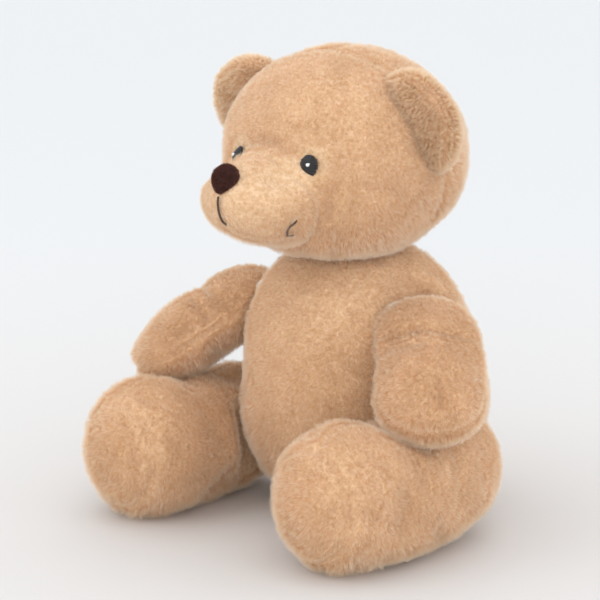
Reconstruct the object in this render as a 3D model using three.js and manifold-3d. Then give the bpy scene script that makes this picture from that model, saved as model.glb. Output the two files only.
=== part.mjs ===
// A sitting teddy bear with disc joints at the neck, the shoulders and the hips.
// Millimetres, +Z up. The bear faces -Y and its own left side is +X.
// The origin is on the floor, under the front of the seat.
import * as THREE from 'three';
import { mergeVertices } from 'three/addons/utils/BufferGeometryUtils.js';
import Module from 'manifold-3d';

const wasm = await Module();
wasm.setup();

// ---------------------------------------------------------------- driving dimensions
const SKIN = 3;                 // backing cloth and pressed pile together
const GAP = 0.4;                // between pieces that touch
const FACE_GAP = 0.9;           // under the pieces sewn on the face and under the ears
const HEAD_BLEND = 6;           // how softly two lobes of stuffing run together
const BODY_BLEND = 14;

const NECK_AT = [0, 4, 160];    // middle of the gap between head and torso
const SHOULDER_TILT = 20;       // degrees that the shoulder axis rises from level
const SHOULDER_AT = [49, -12, 126];
const HIP_AT = [57, 5, 42];

const NECK_DISC = 16;           // radii of the joint discs
const SHOULDER_DISC = 8.5;
const HIP_DISC = 11;
const DISC_THICKNESS = 2.4;
const SHANK_RADIUS = 3.5;
const SHANK_CLEARANCE = 0.6;
const WASHER_RADIUS = 7;
const WASHER_THICKNESS = 2;
const SHANK_TIP = 3;            // how far the shank stands out of its washer

const EAR_SEAM_NORMAL = [0, 1, 0.237];      // the head's front and back meet in this plane
const MUZZLE_SEAM_AT = [0, -66, 205];
const MUZZLE_SEAM_NORMAL = [0, 1, 0.386];
const SEAM_BEHIND_ARMS = 52;    // Y of the side seams of the torso
const SOLE_DEPTH = 16;          // how far the sole panel wraps back from the toe end
const ROUND_SIDES = 14;         // sides of discs, shanks and holes
const BLOCK_SIZE = 1000;
const SEARCH_REACH = 200;       // no surface is further than this from the middle of its shape
const HALVINGS = 30;
const CUTTER_REACH = 80;
const FLAT_BEYOND_DISC = 28;    // the torso is pressed flat this far around each disc
const HIP_FLAT_RADIUS = 48;     // the thigh is pressed flat this far around the hip joint
const FLOOR = { at: [0, 0, 0], normal: [0, 0, -1] };

// Lobes are ellipsoids of stuffing: the middle, then the three radii. Those of a limb run across
// the width of the limb, through its thickness and along it. The others run along X, Y and Z.
const SKULL = { at: [0, 2, 218], radii: [74, 66, 62] };
const JOWLS = { at: [0, -16, 196], radii: [64, 52, 38] };
const MUZZLE = { at: [0, -60, 199], radii: [39, 47, 29] };
const RUMP = { at: [0, 22, 64], radii: [73, 79, 70] };
const CHEST = { at: [0, 12, 118], radii: [63, 61, 50] };
const SHOULDER = { at: [74, -8, 127], radii: [35, 22, 27] };
const ELBOW = { at: [86, -23, 111], radii: [29, 19, 26] };
const HAND = { at: [101, -41, 91], radii: [33, 21, 28] };
const THIGH = { at: [80, 1, 40], radii: [36, 30, 34] };
const SHIN = { at: [81, -46, 34], radii: [33, 29, 30] };
const FOOT = { at: [77, -92, 42], radii: [45, 38, 36] };
const ARM_WIDE = [0.74, 0.67, 0];   // the way the width of the left arm lies
const LEG_WIDE = [0, 0, 1];

const EAR_ROOT_TOP = [48, -10, 272];
const EAR_ROOT_END = [72, 4, 213];
const EAR_LENGTH = 68;
const EAR_REACH = 33;           // from the middle of the ear to its free edge
const EAR_THICKNESS = 15;
const EAR_OUTWARD = 4;          // middle of the ear beyond its root
const EAR_CUPPING = 0.27;       // how far the ears turn in to face each other

const EYE_AT = [26.5, 217];       // sideways from the middle, and height
const EYE_FACING = [0.42, -0.9, 0.12];
const EYE_SIZE = [10, 12];
const EYE_HEIGHT = 3.5;
const EYE_LIFT = 0.8;
const GLINT_SIZE = 3;
const GLINT_HEIGHT = 1.2;
const NOSE_HEIGHT_UP = 212.5;     // height of the middle of the nose
const NOSE_SIZE = [16.5, 15.5];
const NOSE_HEIGHT = 6;
const NOSE_CORNER = 5;
const NOSE_BEVEL = 2;
const NOSE_FACING = [0, -0.85, 0.5];
const MOUTH_TOP = 203;          // heights of the thread line below the nose
const MOUTH_MIDDLE = 187;
const SMILE_REACH = 25;
const SMILE_DIP = 8;            // how far the smile sags before its ends rise
const SMILE_RISE = 6;
const SMILE_SHARE = 0.72;       // how much of a full wave each half of the smile takes
const THREAD = 1.2;

// ---------------------------------------------------------------- materials
const plush = (color) => new THREE.MeshStandardMaterial({ color, roughness: 0.95, metalness: 0 });
const FUR = plush(0xcda57c);
const EAR_FUR = plush(0xd3ac84);
const STUFFING = plush(0xf2efe8);
const VELOUR = plush(0x4a241e);
const BLACK_THREAD = new THREE.MeshStandardMaterial({ color: 0x101012, roughness: 0.6, metalness: 0 });
const WHITE_THREAD = new THREE.MeshStandardMaterial({ color: 0xf4f4f2, roughness: 0.6, metalness: 0 });
const BROWN_THREAD = new THREE.MeshStandardMaterial({ color: 0x4d3024, roughness: 0.7, metalness: 0 });
const PLASTIC = new THREE.MeshStandardMaterial({ color: 0xe8e6e0, roughness: 0.5, metalness: 0 });

// ---------------------------------------------------------------- solids and cuts
const vector = (point) => new THREE.Vector3(...point);
const mirrored = ([x, y, z]) => [-x, y, z];

const WORLD_AXES = [new THREE.Vector3(1, 0, 0), new THREE.Vector3(0, 1, 0), new THREE.Vector3(0, 0, 1)];

function toSolid(geometry) {
  const bare = geometry.clone();
  bare.deleteAttribute('normal');
  bare.deleteAttribute('uv');
  const merged = mergeVertices(bare, 1e-4);
  return new wasm.Manifold(new wasm.Mesh({
    numProp: 3,
    vertProperties: new Float32Array(merged.attributes.position.array),
    triVerts: new Uint32Array(merged.index.array),
  }));
}

function toGeometry(solid) {
  const mesh = solid.getMesh();
  const geometry = new THREE.BufferGeometry();
  geometry.setAttribute('position', new THREE.BufferAttribute(new Float32Array(mesh.vertProperties), 3));
  geometry.setIndex(new THREE.BufferAttribute(new Uint32Array(mesh.triVerts), 1));
  geometry.computeVertexNormals();
  return geometry;
}

// Turning the order of the triangles keeps the mirror image facing out.
function mirroredSolid(solid) {
  const geometry = toGeometry(solid).scale(-1, 1, 1);
  geometry.index.array.reverse();
  return toSolid(geometry);
}

// A cylinder or disc from one distance to another along an axis through a point.
function roundBar(at, axis, from, to, radius) {
  const bar = new THREE.CylinderGeometry(radius, radius, to - from, ROUND_SIDES);
  bar.translate(0, (from + to) / 2, 0);
  return toSolid(placedOnAxis(bar, at, axis));
}

function placedOnAxis(geometry, at, axis) {
  const turn = new THREE.Quaternion().setFromUnitVectors(new THREE.Vector3(0, 1, 0), vector(axis).normalize());
  geometry.applyQuaternion(turn);
  geometry.translate(...at);
  return geometry;
}

// Everything on the far side of a plane, as one big block.
function blockBeyond(at, normal) {
  const block = new THREE.BoxGeometry(BLOCK_SIZE, BLOCK_SIZE, BLOCK_SIZE);
  block.translate(0, BLOCK_SIZE / 2, 0);
  return toSolid(placedOnAxis(block, at, normal));
}

// The part of a solid on one side of a seam plane, half the seam gap back from it.
function keptBeyond(solid, at, normal) {
  const along = vector(normal).normalize();
  const start = vector(at).addScaledVector(along, GAP / 2);
  return solid.intersect(blockBeyond(start.toArray(), along.toArray()));
}

function keptBefore(solid, at, normal) {
  return keptBeyond(solid, at, vector(normal).negate().toArray());
}

// ---------------------------------------------------------------- stuffed shapes
// Signed distance to an ellipsoid, near enough close to its surface.
function lobeDistance(point, lobe) {
  const offset = vector(point).sub(vector(lobe.at));
  const scaled = (lobe.axes ?? WORLD_AXES).map((axis, i) => offset.dot(axis) / lobe.radii[i]);
  const steep = scaled.map((value, i) => value / lobe.radii[i]);
  const level = Math.hypot(...scaled);
  return (level * (level - 1)) / Math.max(Math.hypot(...steep), 1e-6);
}

function bodyDistance(point, { lobes, blend }) {
  return lobes.map((lobe) => lobeDistance(point, lobe)).reduce((a, b) => {
    const overlap = Math.max(blend - Math.abs(a - b), 0) / blend;
    return Math.min(a, b) - (overlap * overlap * blend) / 4;
  });
}

// A closed skin around lobes, as a globe of directions from `middle` whose points slide out to the
// surface. `inset` shrinks it evenly. Each flat then cuts it off square, in front of the point `at`,
// everywhere or within `radius` of the line through that point.
function stuffedShape(shape) {
  const { pole, flats, around, along, inset = 0 } = shape;
  const globe = new THREE.SphereGeometry(1, around, along);
  placedOnAxis(globe, [0, 0, 0], pole);
  const position = globe.attributes.position;
  for (let i = 0; i < position.count; i += 1) {
    const direction = new THREE.Vector3().fromBufferAttribute(position, i);
    const point = surfacePoint(shape, direction, inset);
    position.setXYZ(i, point.x, point.y, point.z);
  }
  return flats.reduce((solid, flat) => solid.subtract(flatCutter(flat, inset)), toSolid(globe));
}

function flatCutter({ at, normal, radius }, inset) {
  if (radius) return roundBar(at, normal, -inset, CUTTER_REACH, radius + inset);
  const out = vector(normal).normalize();
  return blockBeyond(vector(at).addScaledVector(out, -inset).toArray(), normal);
}

function surfacePoint(shape, direction, inset) {
  const start = vector(shape.middle);
  let near = 0;
  let far = SEARCH_REACH;
  for (let step = 0; step < HALVINGS; step += 1) {
    const half = (near + far) / 2;
    const point = start.clone().addScaledVector(direction, half);
    if (bodyDistance(point.toArray(), shape) + inset < 0) near = half;
    else far = half;
  }
  return start.addScaledVector(direction, near);
}

// The cover, hollow, of a stuffed shape, and the stuffing that fills it.
function coverAndStuffing(shape) {
  const coarse = { around: shape.around - 4, along: shape.along - 3 };
  const outside = stuffedShape(shape);
  const hollow = stuffedShape({ ...shape, ...coarse, inset: SKIN });
  const stuffing = stuffedShape({ ...shape, ...coarse, inset: SKIN + GAP });
  return { cover: outside.subtract(hollow), stuffing };
}

// ---------------------------------------------------------------- the five disc joints
// `at` is the middle of the gap between the two covers and `axis` points into the moving limb.
const shoulderRise = THREE.MathUtils.degToRad(SHOULDER_TILT);
const SHOULDER_AXIS = [Math.cos(shoulderRise), 0, Math.sin(shoulderRise)];
const NECK = { at: NECK_AT, axis: [0, 0, 1], disc: NECK_DISC };
const LEFT_SHOULDER = { at: SHOULDER_AT, axis: SHOULDER_AXIS, disc: SHOULDER_DISC };
const LEFT_HIP = { at: HIP_AT, axis: [1, 0, 0], disc: HIP_DISC };
const mirroredJoint = ({ at, axis, disc }) => ({ at: mirrored(at), axis: mirrored(axis), disc });
const ALL_JOINTS = [NECK, LEFT_SHOULDER, mirroredJoint(LEFT_SHOULDER), LEFT_HIP, mirroredJoint(LEFT_HIP)];

const COVER_FACE = GAP / 2 + SKIN + GAP;                 // where a disc starts behind its cover
const DISC_BACK = COVER_FACE + DISC_THICKNESS;
const WASHER_BACK = DISC_BACK + GAP + WASHER_THICKNESS;
const SHANK_END = WASHER_BACK + SHANK_TIP;
const HOLE_RADIUS = SHANK_RADIUS + SHANK_CLEARANCE;

const limbFlat = ({ at, axis }) => {
  const out = vector(axis);
  return { at: vector(at).addScaledVector(out, GAP / 2).toArray(), normal: out.clone().negate().toArray() };
};

const torsoFlat = ({ at, axis, disc }) => {
  const out = vector(axis);
  return { at: vector(at).addScaledVector(out, -GAP / 2).toArray(), normal: axis, radius: disc + FLAT_BEYOND_DISC };
};

function latheOnJoint(profile, joint) {
  const points = profile.map(([radius, height]) => new THREE.Vector2(radius, height));
  return placedOnAxis(new THREE.LatheGeometry(points, ROUND_SIDES), joint.at, joint.axis);
}

// The disc inside the limb with its shank, which reaches through both covers into the torso.
function studGeometry(joint) {
  return toGeometry(toSolid(latheOnJoint([
    [0, -SHANK_END],
    [SHANK_RADIUS, -SHANK_END],
    [SHANK_RADIUS, COVER_FACE],
    [joint.disc, COVER_FACE],
    [joint.disc, DISC_BACK],
    [0, DISC_BACK],
  ], joint)));
}

function ringGeometry(joint, inner, outer, from, to) {
  return toGeometry(toSolid(latheOnJoint([
    [inner, from],
    [outer, from],
    [outer, to],
    [inner, to],
    [inner, from],
  ], joint)));
}

const bodyDiscGeometry = (joint) => ringGeometry(joint, HOLE_RADIUS, joint.disc, -DISC_BACK, -COVER_FACE);

// The washer grips the shank, so it turns with the limb.
const lockWasherGeometry = (joint) => (
  ringGeometry(joint, SHANK_RADIUS + GAP, WASHER_RADIUS, -WASHER_BACK, -DISC_BACK - GAP)
);

const shankHole = ({ at, axis }) => roundBar(at, axis, -2 * SHANK_END, COVER_FACE, HOLE_RADIUS);
const studPocket = ({ at, axis, disc }) => roundBar(at, axis, -SKIN, DISC_BACK + GAP, disc + GAP);
const bodyPocket = ({ at, axis, disc }) => roundBar(at, axis, -SHANK_END - GAP, SKIN, disc + GAP);

// ---------------------------------------------------------------- the assembly
const bear = new THREE.Group();

function add(name, geometry, material) {
  const mesh = new THREE.Mesh(geometry, material);
  mesh.name = name;
  bear.add(mesh);
  return mesh;
}

// A piece on the bear's left side and its mirror image on the right.
function addPair(name, geometry, material) {
  add(`${name}_left`, geometry, material);
  add(`${name}_right`, geometry, material).scale.x = -1;
}

function addJoint(name, joint, addPiece) {
  addPiece(`${name}_stud`, studGeometry(joint), PLASTIC);
  addPiece(`${name}_body_disc`, bodyDiscGeometry(joint), PLASTIC);
  addPiece(`${name}_lock_washer`, lockWasherGeometry(joint), PLASTIC);
}

// ---------------------------------------------------------------- head
const HEAD_SHAPE = {
  lobes: [SKULL, JOWLS, MUZZLE],
  blend: HEAD_BLEND,
  middle: [0, -12, 212],
  pole: [0, 0, 1],
  flats: [limbFlat(NECK)],
  around: 26,
  along: 18,
};

function makeHead() {
  const { cover, stuffing } = coverAndStuffing(HEAD_SHAPE);
  const holed = cover.subtract(shankHole(NECK));
  const earSeam = [EAR_ROOT_END, EAR_SEAM_NORMAL];
  const muzzleSeam = [MUZZLE_SEAM_AT, MUZZLE_SEAM_NORMAL];
  const front = keptBefore(holed, ...earSeam);
  const back = keptBeyond(holed, ...earSeam);
  add('face_panel', toGeometry(keptBeyond(front, ...muzzleSeam)), FUR);
  add('muzzle_panel', toGeometry(keptBefore(front, ...muzzleSeam)), FUR);
  add('head_back_panel_left', toGeometry(keptBeyond(back, [0, 0, 0], [1, 0, 0])), FUR);
  add('head_back_panel_right', toGeometry(keptBeyond(back, [0, 0, 0], [-1, 0, 0])), FUR);
  add('head_stuffing', toGeometry(stuffing.subtract(studPocket(NECK))), STUFFING);
}

// Each ear is two layers of plush that meet in a rim seam, closed against the head.
function makeEar() {
  const along = vector(EAR_ROOT_TOP).sub(vector(EAR_ROOT_END)).normalize();
  const facing = new THREE.Vector3(-EAR_CUPPING, -1, 0);
  facing.addScaledVector(along, -facing.dot(along)).normalize();
  const outward = new THREE.Vector3().crossVectors(along, facing);
  const middle = vector(EAR_ROOT_TOP).lerp(vector(EAR_ROOT_END), 0.5).addScaledVector(outward, EAR_OUTWARD);
  const globe = new THREE.SphereGeometry(1, 14, 10);
  globe.scale(EAR_REACH, EAR_LENGTH / 2, EAR_THICKNESS / 2);
  globe.applyMatrix4(new THREE.Matrix4().makeBasis(outward, along, facing).setPosition(middle));
  const flap = toSolid(globe).subtract(CLEAR_OF_HEAD);
  addPair('ear_front', toGeometry(keptBeyond(flap, middle.toArray(), facing.toArray())), EAR_FUR);
  addPair('ear_back', toGeometry(keptBefore(flap, middle.toArray(), facing.toArray())), EAR_FUR);
}

// ---------------------------------------------------------------- face
const ROOM_FOR_HEAD = stuffedShape({ ...HEAD_SHAPE, inset: -FACE_GAP });
const CLEAR_OF_HEAD = ROOM_FOR_HEAD.add(mirroredSolid(ROOM_FOR_HEAD));

// The point where a line going straight back, at one side and height, meets the face.
function faceAt(x, z, lift) {
  let outside = -SEARCH_REACH;
  let inside = HEAD_SHAPE.middle[1];
  for (let step = 0; step < HALVINGS; step += 1) {
    const half = (outside + inside) / 2;
    if (bodyDistance([x, half, z], HEAD_SHAPE) > lift) outside = half;
    else inside = half;
  }
  return new THREE.Vector3(x, outside, z);
}

// Axes of a thing that sits on the face and looks along `facing`: its right, its up, its front.
function faceFrame(at, facing) {
  const front = vector(facing).normalize();
  const right = new THREE.Vector3().crossVectors(new THREE.Vector3(0, 0, 1), front).normalize();
  const up = new THREE.Vector3().crossVectors(front, right);
  return new THREE.Matrix4().makeBasis(right, up, front).setPosition(...at);
}

function dome(at, facing, [width, height], thickness) {
  const globe = new THREE.SphereGeometry(1, 10, 6);
  globe.scale(width / 2, height / 2, thickness);
  return globe.applyMatrix4(faceFrame(at, facing));
}

// An embroidered oval with a small bright stitch in its middle.
function makeEye() {
  const at = faceAt(...EYE_AT, EYE_LIFT).toArray();
  const front = vector(EYE_FACING).normalize();
  const oval = toSolid(dome(at, EYE_FACING, EYE_SIZE, EYE_HEIGHT));
  const glintAt = vector(at).addScaledVector(front, EYE_HEIGHT).toArray();
  const glint = toSolid(dome(glintAt, EYE_FACING, [GLINT_SIZE, GLINT_SIZE], GLINT_HEIGHT));
  const room = toSolid(dome(at, EYE_FACING, EYE_SIZE.map((size) => size + 2 * GAP), EYE_HEIGHT + GAP));
  addPair('eye', toGeometry(oval.subtract(CLEAR_OF_HEAD)), BLACK_THREAD);
  addPair('eye_glint', toGeometry(glint.subtract(room)), WHITE_THREAD);
}

// A rounded triangle of velour, point down, on the tip of the muzzle.
function makeNose() {
  const half = NOSE_SIZE[0] / 2 - NOSE_CORNER;
  const drop = NOSE_SIZE[1] / 2 - NOSE_CORNER;
  const outline = new THREE.Shape();
  outline.absarc(half, drop, NOSE_CORNER, 0, Math.PI / 2);
  outline.absarc(-half, drop, NOSE_CORNER, Math.PI / 2, Math.PI);
  outline.absarc(0, -drop, NOSE_CORNER, Math.PI * 1.15, Math.PI * 1.85);
  const pad = new THREE.ExtrudeGeometry(outline, {
    depth: NOSE_HEIGHT,
    curveSegments: 3,
    bevelThickness: NOSE_BEVEL,
    bevelSize: NOSE_BEVEL,
    bevelOffset: -NOSE_BEVEL,
    bevelSegments: 1,
  });
  const at = faceAt(0, NOSE_HEIGHT_UP, 0).toArray();
  pad.translate(0, 0, -NOSE_HEIGHT / 2);
  pad.applyMatrix4(faceFrame(at, NOSE_FACING));
  add('nose_pad', toGeometry(toSolid(pad).subtract(CLEAR_OF_HEAD)), VELOUR);
}

// Thread laid along points of the face.
function threadOnFace(places) {
  const lift = FACE_GAP + THREAD / 2;
  const route = new THREE.CatmullRomCurve3(places.map(([x, z]) => faceAt(x, z, lift)));
  const section = new THREE.Shape().absarc(0, 0, THREAD / 2, 0, Math.PI * 2);
  return toSolid(new THREE.ExtrudeGeometry(section, { steps: 8, curveSegments: 2, extrudePath: route }));
}

function makeMouth() {
  const line = threadOnFace([[0, MOUTH_TOP], [0, (MOUTH_TOP + MOUTH_MIDDLE) / 2], [0, MOUTH_MIDDLE]]);
  const smile = threadOnFace([-1, -0.72, -0.36, 0, 0.36, 0.72, 1].map((across) => {
    const dip = SMILE_DIP * Math.sin(Math.PI * Math.abs(across) * SMILE_SHARE) ** 2;
    return [across * SMILE_REACH, MOUTH_MIDDLE + SMILE_RISE * across ** 4 - dip];
  }));
  add('mouth_stitches', toGeometry(line.add(smile)), BROWN_THREAD);
}

// ---------------------------------------------------------------- torso
function makeTorso() {
  const { cover, stuffing } = coverAndStuffing({
    lobes: [RUMP, CHEST],
    blend: BODY_BLEND,
    middle: [0, 18, 80],
    pole: [0, 0, 1],
    flats: [FLOOR, ...ALL_JOINTS.map(torsoFlat)],
    around: 20,
    along: 15,
  });
  let holed = cover;
  let filling = stuffing;
  for (const joint of ALL_JOINTS) {
    holed = holed.subtract(shankHole(joint));
    filling = filling.subtract(bodyPocket(joint));
  }
  const sideSeam = [[0, SEAM_BEHIND_ARMS, 0], [0, 1, 0]];
  const back = keptBeyond(holed, ...sideSeam);
  add('belly_panel', toGeometry(keptBefore(holed, ...sideSeam)), FUR);
  add('back_panel_left', toGeometry(keptBeyond(back, [0, 0, 0], [1, 0, 0])), FUR);
  add('back_panel_right', toGeometry(keptBeyond(back, [0, 0, 0], [-1, 0, 0])), FUR);
  add('torso_stuffing', toGeometry(filling), STUFFING);
}

// ---------------------------------------------------------------- arms and legs
// A limb runs from its root lobe to its tip lobe. Its seam lies in the plane of its length and its
// width, and `thick` stands square on that plane and points away from the body.
function limbLobes(lobes, wide, joint) {
  const along = vector(lobes.at(-1).at).sub(vector(lobes[0].at)).normalize();
  const across = vector(wide);
  across.addScaledVector(along, -across.dot(along)).normalize();
  const thick = new THREE.Vector3().crossVectors(along, across);
  thick.multiplyScalar(Math.sign(thick.dot(vector(joint.axis))));
  const axes = [across, thick, along];
  return { lobes: lobes.map((lobe) => ({ ...lobe, axes })), along: along.toArray(), thick: thick.toArray() };
}

function makeArm() {
  const { lobes, along, thick } = limbLobes([SHOULDER, ELBOW, HAND], ARM_WIDE, LEFT_SHOULDER);
  const { cover, stuffing } = coverAndStuffing({
    lobes,
    blend: BODY_BLEND,
    middle: ELBOW.at,
    pole: along,
    flats: [limbFlat(LEFT_SHOULDER)],
    around: 16,
    along: 12,
  });
  const holed = cover.subtract(shankHole(LEFT_SHOULDER));
  addPair('arm_outer_panel', toGeometry(keptBeyond(holed, ELBOW.at, thick)), FUR);
  addPair('arm_inner_panel', toGeometry(keptBefore(holed, ELBOW.at, thick)), FUR);
  addPair('arm_stuffing', toGeometry(stuffing.subtract(studPocket(LEFT_SHOULDER))), STUFFING);
}

function makeLeg() {
  const { lobes, along, thick } = limbLobes([THIGH, SHIN, FOOT], LEG_WIDE, LEFT_HIP);
  const { cover, stuffing } = coverAndStuffing({
    lobes,
    blend: BODY_BLEND,
    middle: SHIN.at,
    pole: along,
    flats: [FLOOR, { ...limbFlat(LEFT_HIP), radius: HIP_FLAT_RADIUS }],
    around: 16,
    along: 12,
  });
  const holed = cover.subtract(shankHole(LEFT_HIP));
  const soleSeam = [[0, FOOT.at[1] - FOOT.radii[2] + SOLE_DEPTH, 0], along];
  const leg = keptBefore(holed, ...soleSeam);
  addPair('leg_outer_panel', toGeometry(keptBeyond(leg, SHIN.at, thick)), FUR);
  addPair('leg_inner_panel', toGeometry(keptBefore(leg, SHIN.at, thick)), FUR);
  addPair('sole_panel', toGeometry(keptBeyond(holed, ...soleSeam)), FUR);
  addPair('leg_stuffing', toGeometry(stuffing.subtract(studPocket(LEFT_HIP))), STUFFING);
}

// ---------------------------------------------------------------- the bear
makeHead();
makeEar();
makeEye();
makeNose();
makeMouth();
makeTorso();
makeArm();
makeLeg();
addJoint('neck', NECK, add);
addJoint('shoulder', LEFT_SHOULDER, addPair);
addJoint('hip', LEFT_HIP, addPair);

export default bear;
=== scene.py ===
"""Looks of the sitting jointed teddy bear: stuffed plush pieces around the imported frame.

Metres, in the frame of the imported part: +Z up, the bear faces -Y and its own left side is +X.
Each stuffed piece starts as soft lobes or a ball, is blown up as cloth between its seams, and then gets
its seams, folds and pile.
"""

import math

import bmesh
import bpy
import numpy as np
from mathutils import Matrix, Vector, noise


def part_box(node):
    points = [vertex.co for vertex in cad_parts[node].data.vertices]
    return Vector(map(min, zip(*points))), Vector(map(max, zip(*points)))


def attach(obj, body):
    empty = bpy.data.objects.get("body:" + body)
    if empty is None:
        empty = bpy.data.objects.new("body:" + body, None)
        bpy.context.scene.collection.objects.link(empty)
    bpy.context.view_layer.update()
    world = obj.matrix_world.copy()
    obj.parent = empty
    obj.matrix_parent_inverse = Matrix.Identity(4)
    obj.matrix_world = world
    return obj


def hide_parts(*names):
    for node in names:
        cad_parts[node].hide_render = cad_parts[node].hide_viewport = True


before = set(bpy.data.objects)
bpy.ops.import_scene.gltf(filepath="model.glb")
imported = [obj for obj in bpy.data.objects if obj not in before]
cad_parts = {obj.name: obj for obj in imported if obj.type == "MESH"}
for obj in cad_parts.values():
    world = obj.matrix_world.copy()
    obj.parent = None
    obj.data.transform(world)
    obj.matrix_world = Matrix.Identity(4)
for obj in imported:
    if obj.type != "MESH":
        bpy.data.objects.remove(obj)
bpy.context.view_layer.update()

# ---------------------------------------------------------------- driving dimensions
SOCKET_DEPTH = 0.0055       # of the hollows that the eyes sit in
SOCKET_RADIUS = 0.012
BACKING = 0.0032            # the backing cloth lies this far inside the plush surface
HEAD_BLEND = 0.006          # how softly two lobes of stuffing run together
TORSO_BLEND = 0.035
ARM_BLEND = 0.020
LEG_BLEND = 0.042
PRESS_BLEND = 0.005         # rounding where a stuffed piece is pressed flat
HALF_GAP = 0.0004           # from a joint's middle plane to the cloth on either side
SEAT_HEIGHT = 0.0006        # of the backing cloth above the floor
TORSO_SHOULDER_FLAT = 0.0365    # radii of the flats where a limb and the torso lie together
TORSO_HIP_FLAT = 0.039
LEG_FLAT = 0.048
ARM_BARE = 0.030            # the flat of an arm has no pile this near to the shoulder joint

SEAM_HOLD = 0.002           # cloth nearer to a seam or flat than this stays put in the simulation
COVER_SWELL = 0.003         # the furthest that the simulation moves a point of a large cover
CLOTH_FRAMES = 16

PILE = 0.0040               # length of the plush pile
NOSE_PILE = 0.0011
STRAND_WIDTH = 0.00017
NOSE_STRAND_WIDTH = 0.00012
CHILD_STRANDS = 12          # strands drawn for each one that is placed
LENGTH_STEPS = 20           # steps of pile length between none and full
SEAM_THINNING = 0.004       # the pile is shorter nearer to a seam than this
BARE_EDGE = 0.0015          # no pile this near to the floor or the neck
EYE_BARE, NOSE_BARE = 0.0068, 0.0060    # radii without pile around an eye and the nose
BARE_FADE = 0.008           # over which the pile grows to its full length beyond them
STRANDS = {"head": 200000, "torso": 180000, "leg": 110000, "arm": 70000, "ear": 40000, "nose": 16000}

SHOULDER_TILT = math.radians(20)
EAR_ROOT_TOP = (0.048, -0.010, 0.272)
EAR_ROOT_END = (0.072, 0.004, 0.213)
EAR_CUPPING = 0.27
EAR_RADIUS = 0.0300
EAR_FRONT_CROWN = 0.0105
EAR_BACK_CROWN = 0.0070
EAR_SEAM_NORMAL = (0, 1, 0.237)
MUZZLE_SEAM_AT = (0, -0.066, 0.205)
MUZZLE_SEAM_NORMAL = (0, 1, 0.386)
SIDE_SEAM_Y = 0.052
SOLE_SEAM_Y = -0.112
NOSE_FACING = (0, -0.85, 0.5)
NOSE_HALF_WIDTH, NOSE_HALF_HEIGHT = 0.0086, 0.0081
NOSE_CROWN, NOSE_BACK = 0.0046, 0.0030
EYE_WIDTH, EYE_HEIGHT, EYE_CROWN, EYE_PITCH = 0.0098, 0.0122, 0.0026, 0.00042
GLINT_WIDTH, GLINT_HEIGHT, GLINT_CROWN, GLINT_PITCH = 0.0015, 0.0017, 0.0004, 0.0004
EYE_LIFT = 0.0020           # of the base of the black stitches above the backing cloth
GLINT_LIFT = 0.0030         # of the white stitches above the base of the black ones
MOUTH_TOP = 0.203
MOUTH_MIDDLE = 0.187
SMILE_REACH = 0.031
SMILE_HEIGHTS = (0.187, 0.1775, 0.1800, 0.1905)     # from its middle to its end
SMILE_SHARES = (0, 0.40, 0.74, 1)
SMILE_SHOWS = 0.72          # only this far out does the smile come up through the pile
THREAD = 0.0012
TWIST = 0.0026              # length of one turn of the twisted thread
MOUTH_LIFT = 0.0016         # of the thread below the nose above the backing cloth
SMILE_SUNK = 0.0012         # how deep the middle of the smile lies under the backing cloth
SMILE_RISE = 0.0032         # how far its ends come up from there

CAMERA_TARGET = (-0.018, -0.0174, 0.128)
CAMERA_DISTANCE = 1.3
CAMERA_AZIMUTH = math.radians(42)
CAMERA_ELEVATION = math.radians(12)
CAMERA_ANGLE = math.radians(15.74)
KEY_AT, KEY_SIZE, KEY_POWER = (-0.6, -1.4, 1.7), 1.3, 3.5
FILL_AT, FILL_SIZE, FILL_POWER = (1.5, -1.6, 0.25), 1.9, 20
ROOM_BRIGHTNESS = 1.30


def unit(direction):
    direction = np.array(direction, float)
    return direction / np.linalg.norm(direction)


NECK_AT = (0, 0.004, 0.160)
SHOULDER_AT = (0.049, -0.012, 0.126)
HIP_AT = (0.057, 0.005, 0.042)
SHOULDER_AXIS = (math.cos(SHOULDER_TILT), 0, math.sin(SHOULDER_TILT))
HIP_AXIS = (1, 0, 0)


# ---------------------------------------------------------------- materials
def new_material(name):
    material = bpy.data.materials.new(name)
    material.use_nodes = True
    tree = material.node_tree
    return material, tree, tree.nodes["Principled BSDF"]


def add_node(tree, kind, **values):
    node = tree.nodes.new(kind)
    for name, value in values.items():
        if name in node.inputs:
            node.inputs[name].default_value = value
        else:
            setattr(node, name, value)
    return node


def add_ramp(tree, factor, stops):
    ramp = tree.nodes.new("ShaderNodeValToRGB")
    elements = ramp.color_ramp.elements
    while len(elements) < len(stops):
        elements.new(0.5)
    for element, (position, color) in zip(elements, stops):
        element.position = position
        element.color = (*color, 1)
    tree.links.new(factor, ramp.inputs["Fac"])
    return ramp


def add_noise(tree, scale, detail=3.0, roughness=0.6, distortion=0.0):
    place = tree.nodes.new("ShaderNodeTexCoord")
    cloud = add_node(tree, "ShaderNodeTexNoise", Scale=scale, Detail=detail,
                     Roughness=roughness, Distortion=distortion)
    tree.links.new(place.outputs["Object"], cloud.inputs["Vector"])
    return cloud


def mix_colors(tree, factor, first, second, blend="MIX"):
    mix = tree.nodes.new("ShaderNodeMix")
    mix.data_type = "RGBA"
    mix.blend_type = blend
    for socket, value in (("Factor", factor), ("A", first), ("B", second)):
        target = next(s for s in mix.inputs if s.name == socket and s.enabled)
        if isinstance(value, bpy.types.NodeSocket):
            tree.links.new(value, target)
        else:
            target.default_value = value
    return next(s for s in mix.outputs if s.enabled)


def add_bump(tree, shader, height, strength, distance):
    bump = add_node(tree, "ShaderNodeBump", Strength=strength, Distance=distance)
    tree.links.new(height, bump.inputs["Height"])
    tree.links.new(bump.outputs["Normal"], shader.inputs["Normal"])


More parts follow.
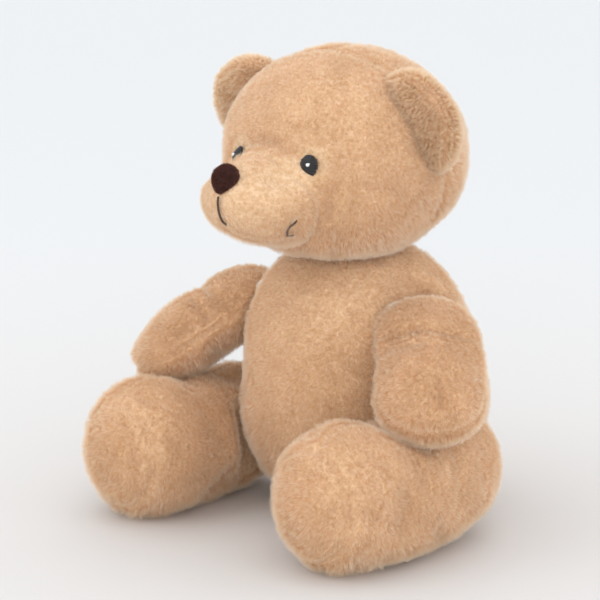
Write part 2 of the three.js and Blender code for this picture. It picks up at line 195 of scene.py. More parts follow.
def plush_backing(name, deep, pale):
    """Dense short plush as it looks between the strands: mottled tufts, matt, with a soft sheen."""
    material, tree, shader = new_material(name)
    tufts = add_noise(tree, 420, detail=4, roughness=0.7)
    patches = add_noise(tree, 38, detail=3, roughness=0.55, distortion=0.6)
    tuft_color = add_ramp(tree, tufts.outputs["Fac"], [(0.34, deep), (0.66, pale)])
    patch_color = add_ramp(tree, patches.outputs["Fac"], [(0.3, (0.88, 0.84, 0.80)), (0.7, (1, 1, 1))])
    color = mix_colors(tree, 1.0, tuft_color.outputs["Color"], patch_color.outputs["Color"], "MULTIPLY")
    tree.links.new(color, shader.inputs["Base Color"])
    shader.inputs["Roughness"].default_value = 0.95
    shader.inputs["Sheen Weight"].default_value = 0.35
    shader.inputs["Sheen Roughness"].default_value = 0.45
    shader.inputs["Specular IOR Level"].default_value = 0.2
    add_bump(tree, shader, tufts.outputs["Fac"], 0.9, 0.0012)
    return material


def strand_material(name, root, middle, tip):
    """Pile: warm and deep at the root, pale at the tip, a little different from strand to strand."""
    material, tree, shader = new_material(name)
    hair = tree.nodes.new("ShaderNodeHairInfo")
    along = add_ramp(tree, hair.outputs["Intercept"], [(0.0, root), (0.45, middle), (0.95, tip)])
    each = add_ramp(tree, hair.outputs["Random"], [(0.0, (0.92, 0.90, 0.87)), (1.0, (1, 1, 1))])
    patches = add_noise(tree, 38, detail=3, roughness=0.55, distortion=0.6)
    patch_color = add_ramp(tree, patches.outputs["Fac"], [(0.32, (0.90, 0.85, 0.78)), (0.68, (1, 1, 1))])
    color = mix_colors(tree, 1.0, along.outputs["Color"], each.outputs["Color"], "MULTIPLY")
    color = mix_colors(tree, 1.0, color, patch_color.outputs["Color"], "MULTIPLY")
    tree.links.new(color, shader.inputs["Base Color"])
    shader.inputs["Roughness"].default_value = 0.8
    shader.inputs["Specular IOR Level"].default_value = 0.15
    through = tree.nodes.new("ShaderNodeBsdfTranslucent")
    tree.links.new(color, through.inputs["Color"])
    both = add_node(tree, "ShaderNodeMixShader", Fac=0.4)
    tree.links.new(shader.outputs["BSDF"], both.inputs[1])
    tree.links.new(through.outputs["BSDF"], both.inputs[2])
    tree.links.new(both.outputs["Shader"], tree.nodes["Material Output"].inputs["Surface"])
    return material


def thread_material(name, deep, pale, roughness):
    """Sewing thread: fine plies and a soft gloss."""
    material, tree, shader = new_material(name)
    plies = add_noise(tree, 2600, detail=2)
    color = add_ramp(tree, plies.outputs["Fac"], [(0.35, deep), (0.65, pale)])
    tree.links.new(color.outputs["Color"], shader.inputs["Base Color"])
    shader.inputs["Roughness"].default_value = roughness
    shader.inputs["Sheen Weight"].default_value = 0.15
    add_bump(tree, shader, plies.outputs["Fac"], 0.5, 0.0002)
    return material


def moulded_plastic(name):
    """White moulded plastic with a faint grain, for the joint discs inside."""
    material, tree, shader = new_material(name)
    grain = add_noise(tree, 900, detail=2)
    color = add_ramp(tree, grain.outputs["Fac"], [(0.3, (0.74, 0.73, 0.70)), (0.7, (0.82, 0.81, 0.78))])
    tree.links.new(color.outputs["Color"], shader.inputs["Base Color"])
    shader.inputs["Roughness"].default_value = 0.45
    add_bump(tree, shader, grain.outputs["Fac"], 0.2, 0.0002)
    return material


PLUSH = plush_backing("plush_backing", (0.62, 0.38, 0.20), (0.82, 0.60, 0.40))
PLUSH_PILE = strand_material("plush_pile", (0.76, 0.45, 0.23), (0.93, 0.74, 0.53), (0.99, 0.93, 0.84))
EAR_PLUSH = plush_backing("ear_plush_backing", (0.70, 0.46, 0.28), (0.88, 0.70, 0.51))
EAR_PILE = strand_material("ear_plush_pile", (0.80, 0.50, 0.27), (0.95, 0.77, 0.54), (0.99, 0.91, 0.80))
VELOUR = plush_backing("nose_velour_backing", (0.035, 0.013, 0.010), (0.095, 0.034, 0.026))
VELOUR_PILE = strand_material("nose_velour_pile", (0.050, 0.018, 0.014), (0.110, 0.038, 0.030),
                              (0.24, 0.10, 0.08))
BLACK_THREAD = thread_material("black_thread", (0.003, 0.003, 0.004), (0.011, 0.012, 0.016), 0.6)
WHITE_THREAD = thread_material("white_thread", (0.80, 0.80, 0.78), (0.95, 0.95, 0.93), 0.5)
BROWN_THREAD = thread_material("brown_thread", (0.045, 0.024, 0.016), (0.13, 0.07, 0.05), 0.7)
PLASTIC = moulded_plastic("joint_plastic")


# ---------------------------------------------------------------- stuffed shapes
def lobe(at, radii, axes=None):
    """An ellipsoid of stuffing. The radii run along the axes, or along X, Y and Z."""
    return {"at": np.array(at), "radii": np.array(radii), "axes": np.eye(3) if axes is None else axes}


def lobe_distance(points, item):
    scaled = (points - item["at"]) @ item["axes"].T / item["radii"]
    level = np.linalg.norm(scaled, axis=1)
    steep = np.linalg.norm(scaled / item["radii"], axis=1)
    return level * (level - 1) / np.maximum(steep, 1e-9)


def soft_least(a, b, blend):
    overlap = np.maximum(blend - np.abs(a - b), 0) / blend
    return np.minimum(a, b) - overlap ** 2 * blend / 4


def shape_distance(points, shape):
    """Signed distance to the backing cloth of a stuffed shape, negative inside."""
    result = None
    for item in shape["lobes"]:
        one = lobe_distance(points, item)
        result = one if result is None else soft_least(result, one, shape["blend"])
    result = result + BACKING
    for at, normal, radius in shape["pressed"]:
        offset = points - np.array(at)
        ahead = offset @ unit(normal)
        beyond = np.linalg.norm(offset - np.outer(ahead, unit(normal)), axis=1)
        cut = ahead if radius is None else np.minimum(ahead, radius - beyond)
        result = -soft_least(-result, -cut, PRESS_BLEND)
    return result


def slide_out(shape, directions):
    """Where rays from the middle of the shape leave it."""
    start = np.array(shape["middle"])
    near = np.zeros(len(directions))
    far = np.full(len(directions), 0.2)
    for _ in range(26):
        half = (near + far) / 2
        inside = shape_distance(start + directions * half[:, None], shape) < 0
        near = np.where(inside, half, near)
        far = np.where(inside, far, half)
    return start + directions * near[:, None]


def points_of(piece):
    co = np.empty(len(piece.data.vertices) * 3)
    piece.data.vertices.foreach_get("co", co)
    return co.reshape(-1, 3)


def set_points(piece, points):
    piece.data.vertices.foreach_set("co", np.asarray(points, float).ravel())
    piece.data.update()


def normals_of(piece):
    normals = np.empty(len(piece.data.vertices) * 3)
    piece.data.vertex_normals.foreach_get("vector", normals)
    return normals.reshape(-1, 3)


def new_piece(name, mesh):
    piece = bpy.data.objects.new(name, mesh)
    bpy.context.scene.collection.objects.link(piece)
    return piece


def round_cage(name, cells, stretch=(1, 1, 1)):
    """A cube of square cells blown up to a ball, so no pole shows; stretch crowds its cells."""
    work = bmesh.new()
    bmesh.ops.create_cube(work, size=2)
    bmesh.ops.subdivide_edges(work, edges=work.edges[:], cuts=cells - 1, use_grid_fill=True)
    mesh = bpy.data.meshes.new(name)
    work.to_mesh(mesh)
    work.free()
    piece = new_piece(name, mesh)
    points = np.tan(points_of(piece) * math.pi / 4) * np.array(stretch)
    set_points(piece, points / np.linalg.norm(points, axis=1)[:, None])
    return piece


def stuffed_piece(name, shape, cells):
    piece = round_cage(name, cells, shape.get("stretch", (1, 1, 1)))
    set_points(piece, slide_out(shape, points_of(piece)))
    return piece


def mirrored_piece(piece, name):
    copy = new_piece(name, piece.data.copy())
    copy.data.name = name
    copy.data.transform([[-1, 0, 0, 0], [0, 1, 0, 0], [0, 0, 1, 0], [0, 0, 0, 1]])
    copy.data.flip_normals()
    return copy


def apply_modifiers(piece):
    graph = bpy.context.evaluated_depsgraph_get()
    mesh = bpy.data.meshes.new_from_object(piece.evaluated_get(graph))
    old = piece.data
    piece.modifiers.clear()
    piece.data = mesh
    bpy.data.meshes.remove(old)
    mesh.name = piece.name


def subdivide(piece, levels):
    modifier = piece.modifiers.new("smooth", "SUBSURF")
    modifier.levels = levels
    apply_modifiers(piece)


# ---------------------------------------------------------------- cloth
def blow_up(piece, held, cap, pressure=3.0, slack=-0.04):
    """The cover as cloth under the pressure of its stuffing. The points in `held` keep their places,
    and no other point moves further than cap."""
    before = points_of(piece)
    group = piece.vertex_groups.new(name="held")
    for index in np.flatnonzero(held):
        group.add([int(index)], 1.0, "REPLACE")
    modifier = piece.modifiers.new("cover", "CLOTH")
    cloth = modifier.settings
    cloth.quality = 5
    cloth.mass = 0.15
    cloth.tension_stiffness = 12
    cloth.compression_stiffness = 8
    cloth.shear_stiffness = 4
    cloth.bending_stiffness = 0.3
    cloth.vertex_group_mass = "held"
    cloth.shrink_min = slack
    cloth.use_pressure = True
    cloth.uniform_pressure_force = pressure
    cloth.effector_weights.gravity = 0
    modifier.point_cache.frame_start = 1
    modifier.point_cache.frame_end = CLOTH_FRAMES
    for step in range(1, CLOTH_FRAMES + 1):
        bpy.context.scene.frame_set(step)
    graph = bpy.context.evaluated_depsgraph_get()
    after = np.empty(len(before) * 3)
    piece.evaluated_get(graph).data.vertices.foreach_get("co", after)
    move = after.reshape(-1, 3) - before
    length = np.linalg.norm(move, axis=1)
    piece.modifiers.clear()
    piece.vertex_groups.clear()
    scale = np.minimum(1, cap / np.maximum(length, 1e-9))
    set_points(piece, before + move * scale[:, None])
    bpy.context.scene.frame_set(1)


# ---------------------------------------------------------------- seams, folds and dents
def plane_distance(points, at, normal):
    return (points - np.array(at)) @ unit(normal)


def line_distance(points, line):
    """Distance to a line of points."""
    best = np.full(len(points), np.inf)
    for start, end in zip(line[:-1], line[1:]):
        start, end = np.array(start), np.array(end)
        run = end - start
        share = np.clip((points - start) @ run / (run @ run), 0, 1)
        best = np.minimum(best, np.linalg.norm(points - start - share[:, None] * run, axis=1))
    return best


def cloud(points, scale, seed=0.0):
    """Smooth noise from -1 to 1."""
    return np.array([noise.noise(Vector(point) * scale + Vector((seed, 0, 0))) for point in points])


def groove(distance, width, depth):
    return -depth * np.exp(-(distance / width) ** 2)


def swell(distance, width, depth):
    """A low roll on both sides of a seam."""
    return depth * np.exp(-((np.abs(distance) - 2.2 * width) / (1.3 * width)) ** 2)


def puckered_seam(points, distance, width=0.0018, depth=0.0017, seed=0.0):
    """A pulled-in seam whose stitches gather the cloth at uneven steps."""
    gathers = cloud(points, 160, seed)
    near = np.exp(-(distance / (5 * width)) ** 2)
    return (groove(distance, width, depth) * (1 + 0.45 * gathers) + swell(distance, width, depth * 0.12)
            + 0.0004 * near * cloud(points, 240, seed + 9))


def finish_surface(piece, sink, seed):
    """Moves the surface along its normals by sink, then adds lumps of stuffing and tufts of pile."""
    points, normals = points_of(piece), normals_of(piece)
    lumps = 0.0006 * cloud(points, 45, seed)
    tufts = 0.00028 * cloud(points, 330, seed + 3)
    set_points(piece, points + normals * (sink(points) + lumps + tufts)[:, None])
    for face in piece.data.polygons:
        face.use_smooth = True


# ---------------------------------------------------------------- pile
def give_pile(piece, pile, weights, strands, seed, length=PILE, comb=(0, 0, 0), width=STRAND_WIDTH):
    """Strands of plush on a piece. weights says, for each point, how long the pile is there, 0 to 1."""
    piece.data.materials.append(pile)
    group = piece.vertex_groups.new(name="pile")
    levels = np.round(np.clip(weights, 0, 1) * LENGTH_STEPS).astype(int)
    for level in range(1, LENGTH_STEPS + 1):
        members = np.flatnonzero(levels == level).tolist()
        if members:
            group.add(members, level / LENGTH_STEPS, "REPLACE")
    piece.modifiers.new("pile", "PARTICLE_SYSTEM")
    system = piece.particle_systems[0]
    system.seed = seed
    system.vertex_group_length = "pile"
    system.vertex_group_density = "pile"
    hair = system.settings
    hair.type = "HAIR"
    hair.use_advanced_hair = True
    hair.count = strands // CHILD_STRANDS
    hair.hair_step = 3
    hair.render_step = 2
    hair.display_step = 1
    hair.emit_from = "FACE"
    hair.use_even_distribution = True
    hair.use_modifier_stack = False
    hair.hair_length = length
    speed = hair.normal_factor
    hair.object_align_factor = [share * speed for share in comb]
    hair.brownian_factor = 0.0
    hair.factor_random = 0.25 * speed
    hair.child_type = "INTERPOLATED"
    hair.rendered_child_count = CHILD_STRANDS
    hair.child_percent = 0
    hair.child_length = 1.0
    hair.clump_factor = 0.12
    hair.clump_shape = 0.1
    hair.roughness_1 = length * 0.06
    hair.roughness_1_size = 0.006
    hair.roughness_2 = length * 0.08
    hair.roughness_2_size = 0.002
    hair.roughness_endpoint = length * 0.05
    hair.root_radius = 1.0
    hair.tip_radius = 0.25
    hair.radius_scale = width / 2
    hair.material = len(piece.data.materials)
    piece.show_instancer_for_render = True


def thin_at_seams(seams, cut):
    """Weights of the pile, shorter by the share cut along the seams."""
    return 1 - cut + cut * np.clip(np.min(np.abs(seams), axis=0) / SEAM_THINNING, 0, 1)


# ---------------------------------------------------------------- head
SKULL = lobe((0, 0.002, 0.218), (0.074, 0.066, 0.062))
JOWLS = lobe((0, -0.016, 0.196), (0.064, 0.052, 0.038))
MUZZLE = lobe((0, -0.060, 0.199), (0.039, 0.047, 0.029))
HEAD = {
    "lobes": [SKULL, JOWLS, MUZZLE],
    "blend": HEAD_BLEND,
    "middle": (0, -0.012, 0.212),
    "pressed": [((0, 0, NECK_AT[2] + HALF_GAP), (0, 0, -1), None)],
}


def face_point(x, z, lift=0.0):
    """Where a line going straight back, at one side and height, meets the face."""
    outside, inside = -0.2, -0.012
    for _ in range(30):
        half = (outside + inside) / 2
        if shape_distance(np.array([[x, half, z]]), HEAD)[0] > lift:
            outside = half
        else:
            inside = half
    return np.array([x, outside, z])


def on_head(x, z, lift=0.0):
    """The same on the finished cover of the head."""
    _, place, normal, _ = HEAD_PIECE.ray_cast((x, -0.3, z), (0, 1, 0))
    return np.array(place) + np.array(normal) * lift


def box_middle(node):
    low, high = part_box(node)
    return (np.array(low) + np.array(high)) / 2


EYES = {side: box_middle(f"eye_{side}") for side in ("left", "right")}
NOSE = box_middle("nose_pad")
SIDES = {"left": 1, "right": -1}


def smile_places(count):
    places = []
    for across in np.linspace(-1, 1, count):
        places.append((across * SMILE_REACH, np.interp(abs(across), SMILE_SHARES, SMILE_HEIGHTS)))
    return places


def mouth_lines():
    """The line below the nose and the smile, on the backing cloth."""
    down = [face_point(0, z) for z in np.linspace(MOUTH_TOP, MOUTH_MIDDLE, 4)]
    smile = [face_point(x, z) for x, z in smile_places(9)]
    return down, smile


def head_seams(points):
    ears = plane_distance(points, EAR_ROOT_END, EAR_SEAM_NORMAL)
    muzzle = plane_distance(points, MUZZLE_SEAM_AT, MUZZLE_SEAM_NORMAL)
    middle = np.where(ears > 0, points[:, 0], 1.0)
    return ears, muzzle, middle


def head_sink(points):
    ears, muzzle, middle = head_seams(points)
    sink = puckered_seam(points, ears, seed=1)
    sink += puckered_seam(points, muzzle, width=0.0018, depth=0.0014, seed=2)
    sink += puckered_seam(points, middle, seed=3)
    for at in EYES.values():
        socket = np.linalg.norm(points - at, axis=1)
        sink += groove(socket, SOCKET_RADIUS, SOCKET_DEPTH)
    down, smile = mouth_lines()
    sink += groove(line_distance(points, down), 0.0024, 0.0016)
    sink += groove(line_distance(points, smile), 0.0026, 0.0014)
    return sink


def make_head():
    piece = stuffed_piece("head_cover", HEAD, 26)
    points = points_of(piece)
    seams = np.min(np.abs(head_seams(points)), axis=0)
    blow_up(piece, (seams < SEAM_HOLD) | (points[:, 2] < NECK_AT[2] + SEAM_HOLD), cap=COVER_SWELL)
    subdivide(piece, 2)
    finish_surface(piece, head_sink, 1.0)
    piece.data.materials.append(PLUSH)
    points = points_of(piece)
    weights = thin_at_seams(head_seams(points), 0.45)
    weights *= 1 - 0.45 * np.exp(-((points[:, 1] + 0.100) / 0.030) ** 2)
    for at in EYES.values():
        beside = np.linalg.norm((points - at)[:, [0, 2]], axis=1)
        weights *= np.where(points[:, 1] < 0, np.clip((beside - EYE_BARE) / BARE_FADE, 0, 1), 1)
    weights *= np.clip((np.linalg.norm(points - NOSE, axis=1) - NOSE_BARE) / BARE_FADE, 0, 1)
    down, smile = mouth_lines()
    ends = np.clip((np.abs(points[:, 0]) - SMILE_SHOWS * SMILE_REACH) / 0.004, 0, 1)
    mouth = np.minimum(line_distance(points, down), line_distance(points, smile) + 0.01 * (1 - ends))
    weights *= 0.5 + 0.5 * np.clip(mouth / 0.004, 0, 1)
    weights *= points[:, 2] > NECK_AT[2] + BARE_EDGE
    give_pile(piece, PLUSH_PILE, weights, STRANDS["head"], 11, comb=(0, 0.25, -0.25))
    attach(piece, "head")
    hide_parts("face_panel", "muzzle_panel", "head_back_panel_left", "head_back_panel_right",
                "head_stuffing")
    return piece


# ---------------------------------------------------------------- ears
def make_ears():
    root_top, root_end = np.array(EAR_ROOT_TOP), np.array(EAR_ROOT_END)
    along = unit(root_top - root_end)
    facing = np.array([-EAR_CUPPING, -1, 0])
    facing = unit(facing - along * (facing @ along))
    outward = np.cross(along, facing)
    middle = (root_top + root_end) / 2 + outward * 0.002 + facing * 0.001 - np.array([0, 0, 0.0015])
    axes = np.array([outward, along, facing])
    piece = round_cage("ear_left", 16, (1, 1, 0.45))
    local = points_of(piece)
    level = np.linalg.norm(local[:, :2], axis=1)
    local[:, :2] *= EAR_RADIUS
    local[:, 2] *= np.where(local[:, 2] > 0, EAR_FRONT_CROWN, EAR_BACK_CROWN)
    set_points(piece, middle + local @ axes)
    rim = level > 0.93
    blow_up(piece, rim, cap=0.002)
    subdivide(piece, 2)

    def ear_sink(at):
        rim_seam = (at - middle) @ facing
        away = np.linalg.norm((at - middle) @ axes[:2].T, axis=1)
        edge = np.clip((away - 0.024) / 0.006, 0, 1)
        return groove(rim_seam, 0.0014, 0.0016) * edge

    finish_surface(piece, ear_sink, 5.0)
    piece.data.materials.append(EAR_PLUSH)
    other = mirrored_piece(piece, "ear_right")
    for ear, side, seed in ((piece, "left", 21), (other, "right", 22)):
        at = points_of(ear)
        weights = np.where(shape_distance(at, HEAD) > -0.001, 1.0, 0.0)
        give_pile(ear, EAR_PILE, weights, STRANDS["ear"], seed, comb=(0.1 * SIDES[side], 0, -0.15))
        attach(ear, "head")
        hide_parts(f"ear_front_{side}", f"ear_back_{side}")


# ---------------------------------------------------------------- face
def face_axes(facing):
    """Right, up and front of a thing that sits on the face and looks along facing."""
    front = unit(facing)
    right = unit(np.cross((0, 0, 1), front))
    return np.array([right, np.cross(front, right), front])


def crosswise(line):
    """Two directions across a line at each of its points."""
    forward = np.gradient(line, axis=0)
    forward /= np.linalg.norm(forward, axis=1)[:, None]
    across = np.cross(forward, (0.13, 0.41, 0.9))
    across /= np.linalg.norm(across, axis=1)[:, None]
    return across, np.cross(forward, across)


def tube(line, radius, sides=6):
    """Points and faces of a thread along a line, closed with a point at both ends."""
    line = np.array(line)
    across, upward = crosswise(line)
    points = [line[0]]
    for place, a, b in zip(line, across, upward):
        for turn in np.arange(sides) * 2 * math.pi / sides:
            points.append(place + radius * (math.cos(turn) * a + math.sin(turn) * b))
    points.append(line[-1])
    last = len(points) - 1
    faces = []
    for side in range(sides):
        after = (side + 1) % sides
        faces.append((0, 1 + after, 1 + side))
        for ring in range(len(line) - 1):
            base = 1 + ring * sides
            faces.append((base + side, base + after, base + sides + after, base + sides + side))
        base = 1 + (len(line) - 1) * sides
        faces.append((last, base + side, base + after))
    return points, faces


def threads_piece(name, lines, radius, sides=6):
    points, faces = [], []
    for line in lines:
        some, some_faces = tube(line, radius, sides)
        faces += [tuple(len(points) + i for i in face) for face in some_faces]
        points += some
    mesh = bpy.data.meshes.new(name)
    mesh.from_pydata([tuple(point) for point in points], [], faces)
    work = bmesh.new()
    work.from_mesh(mesh)
    bmesh.ops.recalc_face_normals(work, faces=work.faces[:])
    work.to_mesh(mesh)
    work.free()
    piece = new_piece(name, mesh)
    for face in piece.data.polygons:
        face.use_smooth = True
    return piece


def satin_oval(name, at, axes, width, height, crown, pitch, seed):
    """An oval filled with threads laid side by side over a small crown."""
    dice = np.random.default_rng(seed)
    lines = []
    for level in np.arange(-height / 2 + pitch / 2, height / 2, pitch):
        reach = width / 2 * math.sqrt(max(1 - (2 * level / height) ** 2, 0.02))
        reach += dice.uniform(-0.0002, 0.0004)
        tilt = dice.uniform(-0.0003, 0.0003)
        line = []
        for share in np.linspace(-1, 1, 9):
            x = share * reach
            rise = crown * max(1 - (2 * x / width) ** 2 - (2 * level / height) ** 2, -0.3)
            local = np.array([x, level + tilt * share, rise - 0.0004 * abs(share) ** 6])
            line.append(at + local @ axes)
        lines.append(line)
    return threads_piece(name, lines, pitch * 0.85)


def make_eyes():
    for side in SIDES:
        place = EYES[side]
        around = [(place[0] + 0.005 * math.cos(turn), place[2] + 0.005 * math.sin(turn))
                  for turn in np.arange(8) * math.pi / 4]
        axes = face_axes(np.mean([on_head(x, z, 1) - on_head(x, z) for x, z in around], axis=0))
        at = on_head(place[0], place[2]) + axes[2] * EYE_LIFT
        eye = satin_oval(f"eye_{side}_stitches", at, axes, EYE_WIDTH, EYE_HEIGHT, EYE_CROWN, EYE_PITCH, 31)
        eye.data.materials.append(BLACK_THREAD)
        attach(eye, "head")
        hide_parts(f"eye_{side}")
        glint_at = at + axes[2] * GLINT_LIFT + axes[1] * 0.0002
        glint = satin_oval(f"eye_{side}_glint_stitches", glint_at, axes, GLINT_WIDTH, GLINT_HEIGHT,
                           GLINT_CROWN, GLINT_PITCH, 32)
        glint.data.materials.append(WHITE_THREAD)
        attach(glint, "head")
        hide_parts(f"eye_glint_{side}")


def make_nose():
    axes = face_axes(NOSE_FACING)
    piece = round_cage("nose_velour_pad", 14, (1, 1, 0.6))
    local = points_of(piece)
    rim = np.linalg.norm(local[:, :2], axis=1) > 0.96
    turn = np.arctan2(local[:, 1], local[:, 0])
    outline = 1 + 0.07 * np.cos(3 * (turn + math.pi / 2)) + 0.03 * np.cos(4 * turn)
    local[:, 0] *= NOSE_HALF_WIDTH * outline
    local[:, 1] *= NOSE_HALF_HEIGHT * outline
    local[:, 2] *= np.where(local[:, 2] > 0, NOSE_CROWN, NOSE_BACK)
    at = on_head(0, NOSE[2]) + axes[2] * 0.0012
    set_points(piece, at + local @ axes)
    blow_up(piece, rim, cap=0.001)
    subdivide(piece, 1)
    finish_surface(piece, lambda points: np.zeros(len(points)), 7.0)
    piece.data.materials.append(VELOUR)
    give_pile(piece, VELOUR_PILE, np.ones(len(piece.data.vertices)), STRANDS["nose"], 41,
              length=NOSE_PILE, width=NOSE_STRAND_WIDTH)
    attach(piece, "head")
    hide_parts("nose_pad")


def twisted(line, radius):
    """The two plies of a twisted thread along a line."""
    line = np.array(line)
    across, upward = crosswise(line)
    run = np.concatenate([[0], np.cumsum(np.linalg.norm(np.diff(line, axis=0), axis=1))])
    turn = run / TWIST * 2 * math.pi
    aside = (np.cos(turn)[:, None] * across + np.sin(turn)[:, None] * upward) * radius * 0.5
    return [line + aside, line - aside]


def make_mouth():
    down = [on_head(0, z, MOUTH_LIFT) for z in np.linspace(MOUTH_TOP, MOUTH_MIDDLE, 40)]
    smile = []
    for x, z in smile_places(121):
        share = abs(x) / SMILE_REACH
        lift = SMILE_RISE * np.clip((share - SMILE_SHOWS) / 0.05, 0, 1)
        smile.append(on_head(x, z, -SMILE_SUNK + lift))
    lines = twisted(down, THREAD / 2) + twisted(smile, THREAD / 2)
    piece = threads_piece("mouth_thread", lines, THREAD * 0.40)
    piece.data.materials.append(BROWN_THREAD)
    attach(piece, "head")
    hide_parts("mouth_stitches")


# ---------------------------------------------------------------- torso
BELLY = lobe((0, 0.022, 0.064), (0.073, 0.079, 0.070))
CHEST = lobe((0, 0.012, 0.118), (0.063, 0.061, 0.050))
TORSO = {
    "lobes": [BELLY, CHEST],
    "blend": TORSO_BLEND,
    "middle": (0, 0.018, 0.080),
    "pressed": [
        ((0, 0, SEAT_HEIGHT), (0, 0, -1), None),
        (NECK_AT, (0, 0, 1), None),
    ],
}


def joint_press(at, axis, radius):
    """Flats on both sides of the torso, where a pair of limbs lies against it."""
    back = np.array(at) - HALF_GAP * unit(axis)
    mirror = np.array([-1, 1, 1])
    return [(back, np.array(axis), radius), (back * mirror, np.array(axis) * mirror, radius)]


TORSO["pressed"] += joint_press(SHOULDER_AT, SHOULDER_AXIS, TORSO_SHOULDER_FLAT)
TORSO["pressed"] += joint_press(HIP_AT, HIP_AXIS, TORSO_HIP_FLAT)


def torso_seams(points):
    side = plane_distance(points, (0, SIDE_SEAM_Y, 0), (0, 1, 0))
    back = np.where(side > 0, points[:, 0], 1.0)
    return side, back


def torso_sink(points):
    side, back = torso_seams(points)
    return puckered_seam(points, side, seed=11) + puckered_seam(points, back, seed=12)


def make_torso():
    piece = stuffed_piece("torso_cover", TORSO, 24)
    points = points_of(piece)
    seams = np.min(np.abs(torso_seams(points)), axis=0)
    pressed = np.zeros(len(points), bool)
    for at, normal, radius in TORSO["pressed"]:
        near = np.abs(plane_distance(points, at, normal)) < SEAM_HOLD
        if radius is not None:
            near &= np.linalg.norm(points - at, axis=1) < radius + 0.004
        pressed |= near
    blow_up(piece, (seams < SEAM_HOLD) | pressed, cap=COVER_SWELL, slack=-0.02)
    subdivide(piece, 2)
    finish_surface(piece, torso_sink, 2.0)
    piece.data.materials.append(PLUSH)
    points = points_of(piece)
    weights = thin_at_seams(torso_seams(points), 0.5)
    weights *= points[:, 2] > BARE_EDGE
    weights *= points[:, 2] < NECK_AT[2] - BARE_EDGE
    give_pile(piece, PLUSH_PILE, weights, STRANDS["torso"], 12, comb=(0, 0, -0.3))
    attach(piece, "torso")
    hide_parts("belly_panel", "back_panel_left", "back_panel_right", "torso_stuffing")


# ---------------------------------------------------------------- arms and legs
def limb(places, wide, joint_axis):
    """Lobes of a limb with the directions of its width, its thickness and its length."""
    along = unit(np.array(places[-1][0]) - np.array(places[0][0]))
    across = np.array(wide, float)
    across = unit(across - along * (across @ along))
    thick = np.cross(along, across)
    thick = thick * np.sign(thick @ np.array(joint_axis))
    axes = np.array([across, thick, along])
    return [lobe(at, radii, axes) for at, radii in places], axes


ARM_LOBES, ARM_AXES = limb([
    ((0.070, -0.008, 0.119), (0.031, 0.021, 0.024)),
    ((0.088, -0.023, 0.108), (0.030, 0.018, 0.026)),
    ((0.101, -0.041, 0.091), (0.032, 0.020, 0.028)),
], (0.74, 0.67, 0), SHOULDER_AXIS)
ARM = {
    "lobes": ARM_LOBES,
    "blend": ARM_BLEND,
    "middle": (0.088, -0.023, 0.108),
    "pressed": [(np.array(SHOULDER_AT) + HALF_GAP * unit(SHOULDER_AXIS), -unit(SHOULDER_AXIS), None)],
}

LEG_LOBES, LEG_AXES = limb([
    ((0.080, 0.001, 0.040), (0.036, 0.030, 0.034)),
    ((0.081, -0.044, 0.036), (0.036, 0.035, 0.034)),
    ((0.077, -0.092, 0.041), (0.042, 0.037, 0.035)),
], (0, 0, 1), HIP_AXIS)
LEG = {
    "lobes": LEG_LOBES,
    "blend": LEG_BLEND,
    "middle": (0.081, -0.044, 0.036),
    "stretch": (1, 1.5, 1),
    "pressed": [
        ((0, 0, SEAT_HEIGHT), (0, 0, -1), None),
        (np.array(HIP_AT) + (HALF_GAP, 0, 0), (-1, 0, 0), LEG_FLAT),
    ],
}


def against(points, at, axis, radius):
    """1 where a cover lies flat against its neighbour around a joint, and 0 elsewhere."""
    flat = np.abs(plane_distance(points, at, axis)) < 0.0015
    return flat & (np.linalg.norm(points - np.array(at), axis=1) < radius)


def arm_seam(points):
    return plane_distance(points, ARM["middle"], ARM_AXES[1])


def arm_sink(points):
    across, thick, along = ((points - ARM["middle"]) @ axis for axis in ARM_AXES)
    outer = np.clip(thick / 0.006, 0, 1)
    sink = puckered_seam(points, arm_seam(points), width=0.0016, depth=0.0010, seed=21)
    fold = along + 0.006 - 0.25 * across
    sink += groove(fold, 0.004, 0.0016) * outer * np.clip((0.012 - across) / 0.02, 0, 1)
    sink += groove(fold - 0.012, 0.003, 0.0014) * outer * np.clip((0.004 - across) / 0.015, 0, 1)
    return sink


def leg_seams(points):
    sole = plane_distance(points, (0.077, SOLE_SEAM_Y, 0.042), LEG_AXES[2])
    side = np.where(sole < 0, plane_distance(points, LEG["middle"], LEG_AXES[1]), 1.0)
    return sole, side


def leg_sink(points):
    sole, side = leg_seams(points)
    return (puckered_seam(points, sole, depth=0.0016, seed=31)
            + puckered_seam(points, side, width=0.0015, depth=0.0005, seed=32))


def make_arms():
    piece = stuffed_piece("arm_left_cover", ARM, 18)
    points = points_of(piece)
    flat = np.abs(plane_distance(points, SHOULDER_AT, SHOULDER_AXIS)) < SEAM_HOLD
    blow_up(piece, (np.abs(arm_seam(points)) < SEAM_HOLD) | flat, cap=COVER_SWELL)
    subdivide(piece, 2)
    finish_surface(piece, arm_sink, 3.0)
    piece.data.materials.append(PLUSH)
    other = mirrored_piece(piece, "arm_right_cover")
    for arm, side, seed in ((piece, "left", 13), (other, "right", 14)):
        at = points_of(arm) * (SIDES[side], 1, 1)
        weights = thin_at_seams([arm_seam(at)], 0.45)
        weights *= 1 - against(at, SHOULDER_AT, SHOULDER_AXIS, ARM_BARE)
        give_pile(arm, PLUSH_PILE, weights, STRANDS["arm"], seed, comb=(0, -0.1, -0.3))
        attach(arm, f"arm_{side}")
        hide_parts(f"arm_outer_panel_{side}", f"arm_inner_panel_{side}", f"arm_stuffing_{side}")


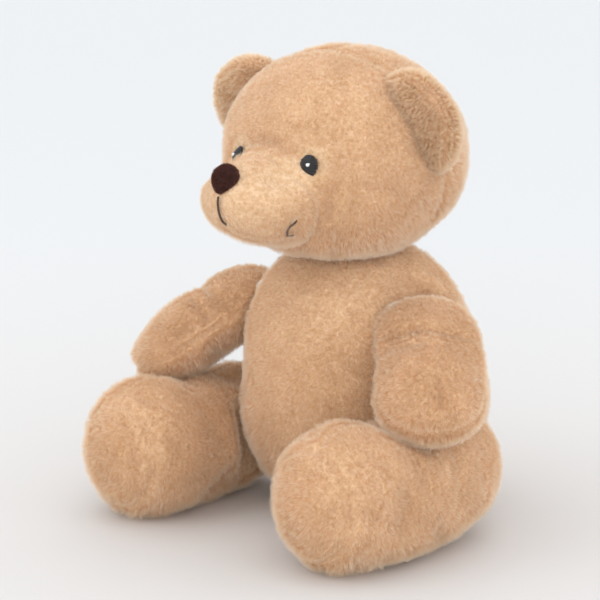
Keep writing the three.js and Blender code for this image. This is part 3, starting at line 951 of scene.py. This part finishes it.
def make_legs():
    piece = stuffed_piece("leg_left_cover", LEG, 22)
    points = points_of(piece)
    held = np.min(np.abs(leg_seams(points)), axis=0) < SEAM_HOLD
    held |= points[:, 2] < SEAM_HOLD
    held |= np.abs(points[:, 0] - HIP_AT[0]) < SEAM_HOLD
    blow_up(piece, held, cap=COVER_SWELL)
    subdivide(piece, 2)
    finish_surface(piece, leg_sink, 4.0)
    piece.data.materials.append(PLUSH)
    other = mirrored_piece(piece, "leg_right_cover")
    for leg, side, seed in ((piece, "left", 15), (other, "right", 16)):
        at = points_of(leg) * (SIDES[side], 1, 1)
        weights = thin_at_seams(leg_seams(at), 0.45)
        weights *= at[:, 2] > BARE_EDGE
        weights *= 1 - against(at, HIP_AT, HIP_AXIS, LEG_FLAT)
        give_pile(leg, PLUSH_PILE, weights, STRANDS["leg"], seed, comb=(0, -0.15, -0.15))
        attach(leg, f"leg_{side}")
        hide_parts(f"leg_outer_panel_{side}", f"leg_inner_panel_{side}", f"sole_panel_{side}",
                    f"leg_stuffing_{side}")


def finish_joints():
    """The discs, studs and washers inside stay as they are, in moulded plastic."""
    for name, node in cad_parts.items():
        if name.split("_")[0] in ("neck", "shoulder", "hip"):
            node.data.materials.clear()
            node.data.materials.append(PLASTIC)


# ---------------------------------------------------------------- floor, light and camera
def make_floor():
    mesh = bpy.data.meshes.new("floor")
    reach = 20
    mesh.from_pydata([(-reach, -reach, 0), (reach, -reach, 0), (reach, reach, 0), (-reach, reach, 0)], [],
                     [(0, 1, 2, 3)])
    floor = new_piece("floor", mesh)
    material, tree, shader = new_material("pale_floor")
    place = tree.nodes.new("ShaderNodeTexCoord")
    away = tree.nodes.new("ShaderNodeVectorMath")
    away.operation = "LENGTH"
    tree.links.new(place.outputs["Object"], away.inputs[0])
    # painted shade: the floor colour runs from warmer and a little darker near the bear, where its shadow
    # and warm bounce light fall, to paler and cooler far away
    color = add_ramp(tree, away.outputs["Value"], [(0.1, (0.66, 0.638, 0.622)), (0.95, (0.67, 0.675, 0.68))])
    tree.links.new(color.outputs["Color"], shader.inputs["Base Color"])
    shader.inputs["Roughness"].default_value = 0.7
    shader.inputs["Specular IOR Level"].default_value = 0.2
    floor.data.materials.append(material)


def aim(thing, at, target):
    thing.location = at
    thing.rotation_euler = (Vector(target) - Vector(at)).to_track_quat("-Z", "Y").to_euler()


def add_light(name, at, size, power, color):
    data = bpy.data.lights.new(name, "AREA")
    data.shape = "DISK"
    data.size = size
    data.energy = power
    data.color = color
    light = bpy.data.objects.new(name, data)
    bpy.context.scene.collection.objects.link(light)
    aim(light, at, (0, 0, 0.12))


def make_stage():
    make_floor()
    add_light("key", KEY_AT, KEY_SIZE, KEY_POWER, (1.0, 0.985, 0.96))
    add_light("fill", FILL_AT, FILL_SIZE, FILL_POWER, (1.0, 0.99, 0.98))
    world = bpy.data.worlds.new("pale_room")
    world.use_nodes = True
    bpy.context.scene.world = world
    world.node_tree.nodes["Background"].inputs["Color"].default_value = (0.96, 0.98, 1.0, 1)
    world.node_tree.nodes["Background"].inputs["Strength"].default_value = ROOM_BRIGHTNESS
    camera = bpy.data.objects.new("camera", bpy.data.cameras.new("camera"))
    bpy.context.scene.collection.objects.link(camera)
    level = CAMERA_DISTANCE * math.cos(CAMERA_ELEVATION)
    at = Vector(CAMERA_TARGET) + Vector((
        level * math.sin(CAMERA_AZIMUTH),
        -level * math.cos(CAMERA_AZIMUTH),
        CAMERA_DISTANCE * math.sin(CAMERA_ELEVATION),
    ))
    aim(camera, at, CAMERA_TARGET)
    camera.data.angle = CAMERA_ANGLE
    camera.data.clip_end = 100
    bpy.context.scene.camera = camera
    bpy.context.scene.view_settings.view_transform = "Standard"


# ---------------------------------------------------------------- the bear
HEAD_PIECE = make_head()
make_ears()
make_eyes()
make_nose()
make_mouth()
make_torso()
make_arms()
make_legs()
finish_joints()
make_stage()
